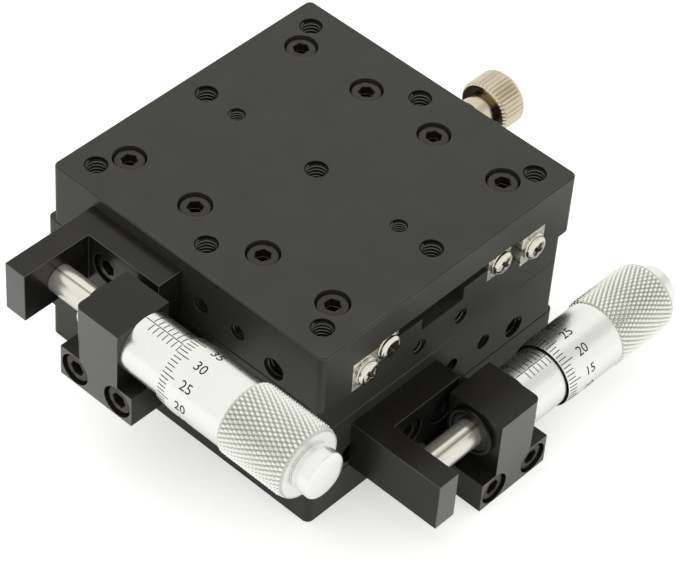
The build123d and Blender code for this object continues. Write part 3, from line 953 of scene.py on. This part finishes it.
@dataclass
class MicrometerHead:
    """Sleeve, clamp nut, spindle, thimble, grip and cap of one micrometer.

    Stations run along the travel from the middle of the block, in millimetres. The ends of each
    piece come from its CAD node, and the thimble's own stations are measured from its edge. The
    sleeve's marks are called ticks and the thimble's are called lines.
    """

    axes: StageAxes
    prefix: str
    reading: float
    datum: float
    line: float = -41.6
    height: float = 12.5
    spindle_radius: float = 2.5
    spindle_bore: float = 2.55
    stem_radius: float = 3.75
    block_half: float = 4.75
    nut_radius: float = 4.5
    sleeve_radius: float = 5.35
    cone_length: float = 2.9
    thimble_radius: float = 6.05
    seat_radius: float = 5.85
    lip_radius: float = 5.8
    mouth_radius: float = 5.74
    bore_radius: float = 5.55
    web: float = 4.5
    grip_radius: float = 6.5
    bevel_length: float = 1.2
    bevel_drop: float = 0.45
    lead_length: float = 0.4
    cap_radius: float = 4.1
    stud_radius: float = 1.5
    divisions: int = 50
    knurl_count: int = 45
    knurl_cells: int = 9
    knurl_depth: float = 0.5
    groove_share: float = 0.72
    seat_gap: float = 0.05
    gap_to_ticks: float = 0.22
    tick_width: float = 0.15
    long_tick: float = 2.4
    short_tick: float = 1.65
    long_line: float = 2.8
    short_line: float = 1.85
    sleeve_ticks: int = 27
    number_size: float = 2.4
    number_rise: float = 0.016
    number_slice: float = 0.22
    number_gap: float = 1.15
    number_start: float = 4.1
    black_bore: float = 5.0

    @property
    def matrix(self) -> Matrix:
        """Brings a shape about the X axis to the micrometer's place."""
        return self.axes.head(0.0, self.line, self.height)

    def ends(self, name: str) -> tuple[float, float]:
        """First and last station of a CAD node of this micrometer."""
        low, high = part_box(f"{self.prefix}_{name}")
        return tuple((corner - self.axes.origin).dot(self.axes.along) / MM for corner in (low, high))

    @property
    def edge(self) -> float:
        """Station of the thimble's edge."""
        return self.ends("thimble")[0]

    def build(self, workshop: Workshop) -> None:
        """Makes every piece of the micrometer."""
        satin = Finishes.satin.on(self.axes.travel)
        coats = {"clamp_nut": Finishes.dark_nut, "spindle": Finishes.ground.on(self.axes.travel)}
        for name, (broken, outline) in self._outlines().items():
            node = f"{self.prefix}_{name}"
            shape = turned(outline, broken)
            coat = coats.get(name, satin)
            piece = workshop.place(shape, f"{node}_detail", [coat], node, self.matrix, [node])
            if name == "sleeve":
                self._blacken(piece, self.block_half - 0.1, self.sleeve_radius)
            elif name == "thimble":
                # Painted shade in the gap at the thimble's mouth.
                self._blacken(piece, self.edge + self.black_bore, self.mouth_radius)
        self._grip(workshop)
        for name, engrave in (("sleeve", self._sleeve_marks), ("thimble", self._thimble_marks)):
            node = f"{self.prefix}_{name}"
            marks = bmesh.new()
            engrave(marks)
            bmesh.ops.recalc_face_normals(marks, faces=marks.faces)
            workshop.place(marks, f"{node}_scale", [Finishes.ink], node, self.matrix)

    def _outlines(self) -> dict[str, tuple[float, Outline]]:
        """Size of the broken edges and outline of each turned piece.

        The spindle stops just short of the thimble's web. The cap has a faint dome, and a fine
        groove at its foot.
        """
        start, end = self.ends("sleeve")
        pin_start, pin_end = self.ends("spindle")
        edge, foot = self.ends("thimble")
        grip = self.ends("thimble_grip")[0]
        cap_start, cap_end = self.ends("thimble_cap")
        stem, bore, stud, cap = self.stem_radius, self.spindle_bore, self.stud_radius, self.cap_radius
        drum, seat = self.thimble_radius, self.seat_radius
        sleeve = straight(self.block_half, end, stem, self.sleeve_radius)[:3]
        shell = [(edge + 0.6, self.bore_radius), (edge, self.mouth_radius), (edge, self.lip_radius)]
        shell += [(edge + self.cone_length, drum), (grip, drum), (grip, seat), (foot, seat)]
        hollow = [(foot, stud + 0.02), (pin_end, stud + 0.02), (pin_end, bore)]
        hollow += [(pin_end - self.web, bore), (pin_end - self.web, self.bore_radius)]
        dome = [(cap_start, 0.0), (cap_start, stud), (foot, stud), (foot, cap - 0.2)]
        dome += [(foot + 0.3, cap - 0.2), (foot + 0.3, cap), (cap_end - 0.5, cap)]
        dome += [(cap_end - 0.25, cap - 0.22), (cap_end - 0.08, cap * 0.7), (cap_end, 0.0)]
        return {
            "sleeve": (0.08, [(start, bore), (start, stem), *sleeve, (end, bore)]),
            "clamp_nut": (0.15, straight(*self.ends("clamp_nut"), stem + 0.02, self.nut_radius)),
            "spindle": (0.2, straight(pin_start, pin_end - self.seat_gap, 0.0, self.spindle_radius)),
            "thimble": (0.04, shell + hollow),
            "thimble_cap": (0.12, dome),
        }

    def _blacken(self, piece: bpy.types.Object, end: float, radius: float) -> None:
        """Paints the stem, or the thimble's bore, black. In the bore this is painted shade in the gap at the
        thimble's mouth.

        Args:
            piece: the sleeve or the thimble.
            end: the black stops at this station.
            radius: it covers faces inside this radius.
        """
        piece.data.materials.append(Finishes.dark_nut.material())
        middle = self.axes.point(0.0, self.line, self.height)
        for face in piece.data.polygons:
            arm = (face.center - middle) / MM
            station = arm.dot(self.axes.along)
            if station < end and (arm - station * self.axes.along).length < radius:
                face.material_index = 1

    def _grip(self, workshop: Workshop) -> None:
        """Makes the ring with its diamond knurl.

        A grid of four by four faces for each diamond, each split at its middle, is rolled up. The
        grooves then run along edges. Both ends are closed down to the bore. Faces deep in the knurl
        are painted a duller chrome as shade.
        """
        node = f"{self.prefix}_thimble_grip"
        start, end = self.ends("thimble_grip")
        bore = self.seat_radius + 0.02
        grip = bmesh.new()
        cells, rows = 4 * self.knurl_cells, 4 * self.knurl_count
        bmesh.ops.create_grid(grip, x_segments=cells, y_segments=rows, size=0.5)
        bmesh.ops.poke(grip, faces=grip.faces)
        for vert in grip.verts:
            along = vert.co.x + 0.5
            around = vert.co.y + 0.5
            radius = self._knurl_radius(along, around, end - start)
            angle = around * FULL_TURN
            station = start + along * (end - start)
            vert.co = Vector((station, -radius * math.sin(angle), radius * math.cos(angle)))
        bmesh.ops.remove_doubles(grip, verts=grip.verts, dist=1e-3)
        rims = [edge for edge in grip.edges if len(edge.link_faces) == 1]
        made = bmesh.ops.extrude_edge_only(grip, edges=rims)["geom"]
        for vert in made:
            if isinstance(vert, bmesh.types.BMVert):
                vert.co.yz = vert.co.yz.normalized() * bore
        inner = [edge for edge in made if isinstance(edge, bmesh.types.BMEdge) and len(edge.link_faces) == 1]
        bmesh.ops.bridge_loops(grip, edges=inner)
        bmesh.ops.recalc_face_normals(grip, faces=grip.faces)
        # Faces deep in the knurl get the painted shade.
        deep = self.grip_radius - self.knurl_depth * self.groove_share
        for face in grip.faces:
            face.material_index = int(face.calc_center_median().yz.length < deep)
        coats = (Finishes.knurl, Finishes.groove)
        workshop.place(grip, f"{node}_knurl", coats, node, self.matrix, [node], smooth_below=24.0)

    def _knurl_radius(self, along: float, around: float, length: float) -> float:
        """Radius of the knurl: two crossed sets of V-grooves, cut off by the bevels.

        Args:
            along: share of the grip's length from its start.
            around: share of a full turn.
            length: the grip's length.

        Returns:
            The radius in millimetres.
        """
        waves = [along * self.knurl_cells + sign * around * self.knurl_count for sign in (1, -1)]
        height = min(1 - abs(2 * (wave % 1) - 1) for wave in waves)
        radius = self.grip_radius - self.knurl_depth * (1 - height) ** 1.3
        past = (along * length - (length - self.bevel_length)) / self.bevel_length
        short = 1 - along * length / self.lead_length
        return min(radius, self.grip_radius - self.bevel_drop * max(past, short, 0.0))

    def _sleeve_marks(self, marks: Shape) -> None:
        """Draws the datum line, the ticks every half millimetre and the numbers.

        Whole millimetres are on the stage's side of the line, and halves on the outer side.
        """
        low = self.sleeve_radius - 0.02
        high = self.sleeve_radius + 0.012
        zero = self.edge - self.reading
        start = self.block_half + 0.1
        end = self.ends("sleeve")[1] - 0.5
        half = self.tick_width / 2
        gap = self.gap_to_ticks / self.sleeve_radius
        self._line(marks, straight(start, end, low, high), self.datum)
        for i in range(self.sleeve_ticks):
            station = zero + 0.5 * i
            reach = self.short_tick if i % 10 else self.long_tick
            sweep = (reach - self.gap_to_ticks) / self.sleeve_radius
            first = self.datum + gap if i % 2 else self.datum - gap - sweep
            swept_band(marks, straight(station - half, station + half, low, high), first, sweep, 8)
            if i % 10 == 0:
                angle = self.datum - (reach + self.number_gap) / self.sleeve_radius
                self._number(marks, str(i // 2), angle, station - 0.75, self.sleeve_radius)

    def _line(self, shape: Shape, outline: Outline, angle: float) -> None:
        """Draws one straight mark along the micrometer.

        Args:
            shape: the mesh that gets the mark.
            outline: its side view: start low, start high, end high, end low.
            angle: where it lies round the axis.
        """
        sweep = self.tick_width / outline[2][1]
        swept_band(shape, outline, angle - sweep / 2, sweep, 1)

    def _thimble_marks(self, marks: Shape) -> None:
        """Draws the fifty lines of the thimble and a number at every fifth."""
        step = FULL_TURN / self.divisions
        at_datum = (self.reading % 0.5) * 2 * self.divisions
        slope = (self.thimble_radius - self.lip_radius) / self.cone_length
        first = 0.2
        thick = 0.035
        for i in range(self.divisions):
            angle = self.datum - (i - at_datum) * step
            reach = self.short_line if i % 5 else self.long_line
            low = self.lip_radius + slope * first - 0.02
            far = low + slope * (reach - first)
            start, end = self.edge + first, self.edge + reach
            self._line(marks, [(start, low), (start, low + thick), (end, far + thick), (end, far)], angle)
            if i % 5 == 0:
                self._number(marks, str(i), angle, self.edge + self.number_start, self.thimble_radius)

    def _number(self, marks: Shape, words: str, angle: float, start: float, radius: float) -> None:
        """Wraps a number on a drum. It reads outwards along the axis, with its top to the stage.

        Args:
            marks: the mesh that gets the number.
            words: the number's digits.
            angle: where its middle lies round the axis.
            start: station of its left side.
            radius: the drum's radius.
        """
        curve = bpy.data.curves.new("digits", "FONT")
        curve.body = words
        curve.size = self.number_size
        curve.align_y = "CENTER"
        curve.extrude = self.number_rise
        curve.resolution_u = 3
        carrier = linked("digits", curve)
        digits = bmesh.new()
        absorb(digits, bpy.data.meshes.new_from_object(carrier))
        bpy.data.objects.remove(carrier)
        bpy.data.curves.remove(curve)
        for i in range(-4, 5):
            everything = digits.verts[:] + digits.edges[:] + digits.faces[:]
            cut = (0, self.number_slice * i, 0)
            bmesh.ops.bisect_plane(digits, geom=everything, plane_co=cut, plane_no=(0, 1, 0))
        for vert in digits.verts:
            turn = angle - vert.co.y / radius
            reach = radius + vert.co.z
            vert.co = Vector((start + vert.co.x, -reach * math.sin(turn), reach * math.cos(turn)))
        absorb(marks, mesh_of(digits, "digits"))


@dataclass
class LockScrew:
    """Knurled thumb screw of one stage, about its own axis across the travel."""

    axes: StageAxes
    prefix: str
    tip: float = 23.5
    tip_chamfer: float = 0.3
    shoulder: float = 33.7
    knob_start: float = 37.0
    knob_end: float = 42.5
    shank_radius: float = 1.45
    neck_radius: float = 3.1
    knob_radius: float = 5.0
    chamfer: float = 0.5
    dish_radius: float = 3.4
    dish_depth: float = 0.4
    recess_radius: float = 4.2
    recess_depth: float = 1.0
    grooves: int = 40
    groove_depth: float = 0.3
    sides: int = 48

    def build(self, workshop: Workshop) -> None:
        """Makes the shank, the neck and the straight-knurled knob."""
        node = f"{self.prefix}_lock_screw"
        matrix = self.axes.facing(SIZES.lock_place, 0.0, SIZES.side_tap_height, self.axes.across)
        teeth = 6 * self.grooves
        inner = self.knob_radius - self.chamfer
        low, high = self.knob_start, self.knob_end
        recess = low + self.recess_depth
        shank = [(self.shank_radius - self.tip_chamfer, self.tip)]
        shank += [(self.shank_radius, self.tip + self.tip_chamfer)]
        shank += [(self.shank_radius, self.shoulder), (self.neck_radius, self.shoulder)]
        shank += [(self.neck_radius, recess), (self.recess_radius, recess), (self.recess_radius, low)]
        knob = [(inner, low), (self.knob_radius, low + self.chamfer)]
        knob += [(self.knob_radius, high - self.chamfer), (inner, high)]
        dish = [(self.dish_radius, high), (self.dish_radius - self.dish_depth, high - self.dish_depth)]
        rows = ((self.sides, shank), (teeth, knob), (self.sides, dish))
        shape = stacked([(sides, *spot) for sides, spots in rows for spot in spots])
        for vert in [vert for vert in shape.verts if vert.co.xy.length > self.knob_radius - 0.01]:
            phase = math.atan2(vert.co.y, vert.co.x) * self.grooves
            radius = self.knob_radius - self.groove_depth * (0.5 + 0.5 * math.cos(phase)) ** 2
            vert.co.xy = vert.co.xy.normalized() * radius
        coats = [Finishes.warm_nickel]
        workshop.place(shape, f"{node}_detail", coats, node, matrix, [node], smooth_below=40.0)


@dataclass
class ReturnSpring:
    """Wound spring between the two pins of one stage."""

    base: StageAxes
    table: StageAxes
    prefix: str
    pin_place: float = 21.5
    height: float = 10.9
    neck: float = 3.0
    coil_radius: float = 2.2
    wire_radius: float = 0.3
    hook_gap: float = 1.05
    turns: int = 30
    steps_each: int = 18

    def build(self, workshop: Workshop) -> None:
        """Winds the coil between the table's pin and the base's pin, on neither body."""
        start = self.table.point(-self.pin_place, 0.0, self.height)
        end = self.base.point(self.pin_place, 0.0, self.height)
        length = (end - start).length / MM - 2 * self.neck
        coil = bmesh.new()
        wire = self._wire(coil, (self.neck, 0, self.coil_radius))
        spin(coil, wire, (1, 0, 0), FULL_TURN * self.turns, self.steps_each * self.turns, length)
        self._hook(coil, 0.0, self.neck)
        self._hook(coil, length + 2 * self.neck, -self.neck)
        bmesh.ops.recalc_face_normals(coil, faces=coil.faces)
        node = f"{self.prefix}_return_spring"
        matrix = Matrix.Translation(start) @ self.base.head(0, 0, 0).to_3x3().to_4x4()
        reach = self.base.along * self.neck * MM
        pull = Stretch(
            workshop.body_of(f"{self.prefix}_table"),
            workshop.body_of(f"{self.prefix}_base"),
            start + reach,
            end - reach,
        )
        workshop.place(coil, f"{node}_coil", [Finishes.wire], node, matrix, [node], stretch=pull)

    def _wire(self, coil: Shape, place: Place) -> Drawn:
        """Draws a round section of the wire at a place, facing across the spring."""
        at = Matrix.Translation(place) @ Matrix.Rotation(math.pi / 2, 4, "X")
        return rim_of(bmesh.ops.create_circle(coil, segments=8, radius=self.wire_radius, matrix=at))

    def _hook(self, coil: Shape, pin: float, reach: float) -> None:
        """Bends one hook round its pin and leads it to the coil.

        Args:
            coil: the mesh that gets the hook.
            pin: the pin's station along the spring.
            reach: how far on the coil begins, with its sign.
        """
        loop = self.wire_radius + self.hook_gap
        spin(coil, self._wire(coil, (pin + loop, 0, 0)), (0, 0, 1), FULL_TURN, 24, centre=(pin, 0, 0))
        middle = pin + reach / 2 + math.copysign(loop / 2, reach)
        bmesh.ops.create_cone(
            coil,
            cap_ends=True,
            segments=8,
            radius1=self.wire_radius,
            radius2=self.wire_radius,
            depth=abs(reach) - loop + 0.4,
            matrix=Matrix.Translation((middle, 0, 0)) @ Matrix.Rotation(math.pi / 2, 4, "Y"),
        )


@dataclass
class Stage:
    """One single-axis stage with everything on it."""

    prefix: str
    travel: Axis
    reading: float
    datum: float
    top_open: bool

    def axes_of(self, node: str) -> StageAxes:
        """Axes whose origin is under the middle of a plate, at the underside of the stage's base."""
        low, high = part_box(node)
        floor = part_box(f"{self.prefix}_base")[0].z
        return StageAxes(Vector(((low.x + high.x) / 2, (low.y + high.y) / 2, floor)), self.travel)

    def build(self, workshop: Workshop) -> None:
        """Dresses every node of the stage."""
        base = self.axes_of(f"{self.prefix}_base")
        table = self.axes_of(f"{self.prefix}_table")
        bar_coats = (Finishes.bar.on(self.travel), Finishes.fly_cut, Finishes.rubbed)
        for name in ("table", "base", "contact_arm", "micrometer_block", "lock_plate"):
            coats = bar_coats if name in ("contact_arm", "micrometer_block") else PLATE_COATS
            workshop.milled(f"{self.prefix}_{name}", coats, -base.across)
        plate_low, plate_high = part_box(f"{self.prefix}_lock_plate")
        lock_middle = ((plate_low + plate_high) / 2 - base.origin).dot(base.along) / MM
        Fasteners(base, table, self.prefix, lock_middle).build(workshop)
        Threads(base, table, self.prefix, self.top_open).build(workshop)
        MicrometerHead(base, self.prefix, self.reading, self.datum).build(workshop)
        LockScrew(table, self.prefix).build(workshop)
        ReturnSpring(base, table, self.prefix).build(workshop)
        rails = [f"{row}_rail_{side}" for row in ("inner", "outer") for side in ("left", "right")]
        for name in (*rails, "rollers", "base_spring_pin", "table_spring_pin"):
            workshop.paint(f"{self.prefix}_{name}", Finishes.ground.on(self.travel))
        workshop.paint(f"{self.prefix}_roller_cages", Finishes.brass)


def seen_directly(tree: Tree, in_gloss: float = 1.0) -> Socket:
    """Adds nodes that give 1 to rays from the camera and through glass, and in_gloss to mirrored ones.

    Args:
        tree: the tree of a backdrop or of the world.
        in_gloss: the value for rays from a gloss.

    Returns:
        The socket with that value, which is 0 for light that falls on matt things.
    """
    path = add_node(tree, "LightPath").node.outputs
    seen = path["Is Camera Ray"]
    for other, value in (("Is Glossy Ray", in_gloss), ("Is Transmission Ray", 1.0)):
        scaled = {"operation": "MULTIPLY_ADD", 1: value}
        seen = add_node(tree, "Math", scaled, {0: path[other], 2: seen})
    return seen


@dataclass
class Studio:
    """Floor, lights and camera, as in the photograph.

    The room that gloss shows is white, with a duller gap high on the far side, which draws the soft
    darker band along the lower micrometer's chrome.
    """

    camera_place: Place = (229.88, -265.78, 366.08)
    azimuth: float = 40.566
    elevation: float = 45.304
    roll: float = 4.164
    lens: float = 157.25
    shift: tuple[float, float] = (0.0362, -0.0037)
    floor_half: float = 900.0
    key_place: Place = (-390.0, -180.0, 780.0)
    key_size: float = 900.0
    key_power: float = 2.7
    fill_place: Place = (720.0, 90.0, 480.0)
    fill_size: float = 600.0
    fill_power: float = 0.8
    zenith_strength: float = 1.0
    horizon_strength: float = 0.3
    zenith_height: float = 0.8
    gap_direction: Place = (0.40, 0.52, 0.755)
    gap_strength: float = 0.72
    gap_from: float = 0.9
    gap_to: float = 0.99
    floor_lift: float = 0.49
    floor_in_gloss: float = 0.4
    aim_height: float = 20.0

    def build(self) -> None:
        """Makes the floor, the world, the lights and the camera."""
        self._floor()
        self._world()
        self._lamp("Key_softbox", self.key_place, self.key_size, self.key_power)
        self._lamp("Fill_softbox", self.fill_place, self.fill_size, self.fill_power)
        self._camera()
        bpy.context.scene.view_settings.view_transform = "Standard"

    def _floor(self) -> None:
        """Makes the white table top, which shows white to the camera and keeps the shadow."""
        shape = bmesh.new()
        bmesh.ops.create_grid(shape, x_segments=2, y_segments=2, size=self.floor_half * MM)
        floor = linked("Floor", mesh_of(shape, "Floor"))
        material = bpy.data.materials.new("White_paper_sweep")
        tree = cleared(material)
        paper = add_node(tree, "BsdfDiffuse", {"Color": linear("#e6e6e6")})
        seen = seen_directly(tree, self.floor_in_gloss)
        lift = add_node(tree, "Math", {"operation": "MULTIPLY", 1: self.floor_lift}, {0: seen})
        glow = add_node(tree, "Emission", {"Color": linear("#ffffff")}, {"Strength": lift})
        both = add_node(tree, "AddShader", links={0: paper, 1: glow})
        add_node(tree, "OutputMaterial", links={"Surface": both})
        floor.data.materials.append(material)

    def _world(self) -> None:
        """Lights the room softly, most from overhead."""
        world = bpy.data.worlds.new("Studio_room")
        bpy.context.scene.world = world
        tree = cleared(world)
        ray = add_node(tree, "TexCoord", output="Generated")
        height = add_node(tree, "SeparateXYZ", links={"Vector": ray}, output="Z")
        climb = {"From Max": self.zenith_height, "To Min": self.horizon_strength}
        climb |= {"To Max": self.zenith_strength}
        rising = add_node(tree, "MapRange", climb, {"Value": height})
        aim = {"operation": "DOT_PRODUCT", 1: self.gap_direction}
        facing = add_node(tree, "VectorMath", aim, {0: ray}, "Value")
        dip = {"interpolation_type": "SMOOTHSTEP", "From Min": self.gap_from, "From Max": self.gap_to}
        dip |= {"To Min": 1.0, "To Max": self.gap_strength}
        gap = add_node(tree, "MapRange", dip, {"Value": facing})
        sources = {0: seen_directly(tree), 2: rising, 3: gap}
        strength = add_node(tree, "Mix", {"data_type": "FLOAT"}, sources)
        room = add_node(tree, "Background", {"Color": linear("#fffef8")}, {"Strength": strength})
        add_node(tree, "OutputWorld", links={"Surface": room})

    def _lamp(self, name: str, place: Place, size: float, power: float) -> None:
        """Hangs one soft box that faces the stage and stays out of what the metal mirrors.

        Args:
            name: the lamp's name.
            place: where it hangs, in millimetres.
            size: its side in millimetres.
            power: its power in watts.
        """
        lamp = bpy.data.lights.new(name, "AREA")
        lamp.size = size * MM
        lamp.energy = power
        holder = linked(name, lamp)
        holder.location = Vector(place) * MM
        holder.rotation_mode = "QUATERNION"
        holder.rotation_quaternion = (UP * self.aim_height * MM - holder.location).to_track_quat("-Z", "Y")
        holder.visible_glossy = False

    def _camera(self) -> None:
        """Sets the camera at the photograph's place and angle."""
        camera = bpy.data.cameras.new("Camera")
        camera.lens = self.lens
        camera.sensor_width = 36.0
        camera.shift_x, camera.shift_y = self.shift
        camera.clip_start = 0.01
        camera.clip_end = 10.0
        holder = linked("Camera", camera)
        turn = math.radians(self.azimuth)
        rise = math.radians(self.elevation)
        back = Vector((math.sin(turn) * math.cos(rise), -math.cos(turn) * math.cos(rise), math.sin(rise)))
        level = (-back).to_track_quat("-Z", "Y").to_matrix().to_4x4()
        tilt = Matrix.Rotation(math.radians(self.roll), 4, "Z")
        holder.matrix_world = Matrix.Translation(Vector(self.camera_place) * MM) @ level @ tilt
        bpy.context.scene.camera = holder


def dress_joining_screws(workshop: Workshop, base: StageAxes) -> None:
    """Makes the four screws that hold the upper base on the lower table."""
    grid = SIZES.grid
    seat = SIZES.deck_height - SIZES.large_bore_depth
    places = [base.facing(u, v, seat, UP, 0.3) for u in (-grid, grid) for v in (-grid, grid)]
    workshop.screws("stage_joining_screws", M4_SCREW, places)


def main() -> None:
    """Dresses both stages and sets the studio."""
    logging.basicConfig(level=logging.INFO, format="%(message)s")
    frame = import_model()
    workshop = Workshop(frame)
    upper = Stage("x", Axis.X, 6.826, math.radians(-2.2), True)
    lower = Stage("y", Axis.Y, 6.244, math.radians(3.2), False)
    for stage in (upper, lower):
        stage.build(workshop)
    dress_joining_screws(workshop, upper.axes_of("x_base"))
    Studio().build()
    log.info("%d pieces made", len(workshop.made))


if __name__ == "__main__":
    main()
